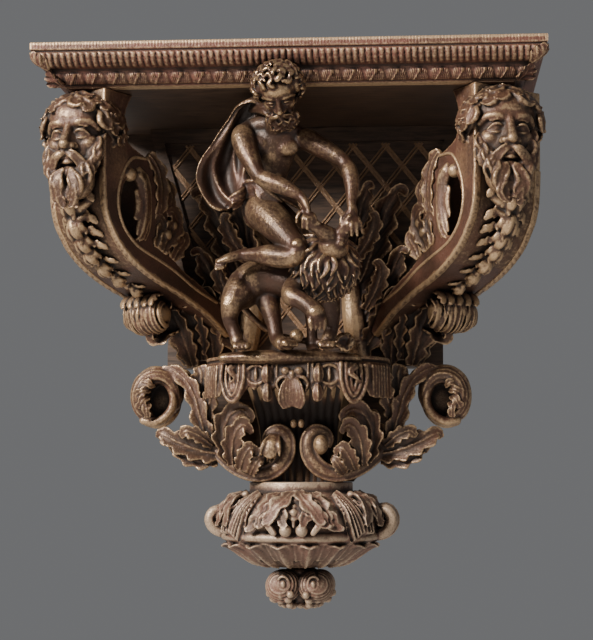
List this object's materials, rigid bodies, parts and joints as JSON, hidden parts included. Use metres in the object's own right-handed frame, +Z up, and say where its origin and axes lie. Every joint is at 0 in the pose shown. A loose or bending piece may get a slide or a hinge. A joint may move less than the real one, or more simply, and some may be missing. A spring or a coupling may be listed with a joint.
{
  "type": "wall bracket",
  "caption": "Carved gilded wood wall bracket: shelf on scroll consoles with bearded heads, a man and lion group, acanthus scrolls, a bowl and a bud.",
  "frame": {"origin": "on the flat back, on the centre line, 300 mm below the top of the shelf", "axes": "+X to the viewer's right, -Y out of the wall towards the viewer, +Z up; the back lies in the plane Y = 0"},
  "size_m": [0.644, 0.315, 0.7155],
  "materials": {
    "gilded_wood": "worn, darkened gilding over red bole on carved wood",
    "dark_wood": "dark stained wood with a plain horizontal grain"
  },
  "bodies": {
    "root": {"shelf_board": "dark_wood", "cornice_moulding": "gilded_wood", "back_board": "dark_wood", "trellis_panel": "dark_wood", "left_console": "gilded_wood", "right_console": "gilded_wood", "left_under_leaf": "gilded_wood", "right_under_leaf": "gilded_wood", "left_panel_leaf": "gilded_wood", "right_panel_leaf": "gilded_wood", "man_and_lion_group": "gilded_wood", "valance_pedestal": "gilded_wood", "core_stem": "gilded_wood", "left_scroll_leaf": "gilded_wood", "right_scroll_leaf": "gilded_wood", "left_curled_leaf": "gilded_wood", "right_curled_leaf": "gilded_wood", "pendant_bowl": "gilded_wood", "pendant_bud": "gilded_wood"}
  },
  "joints": []
}
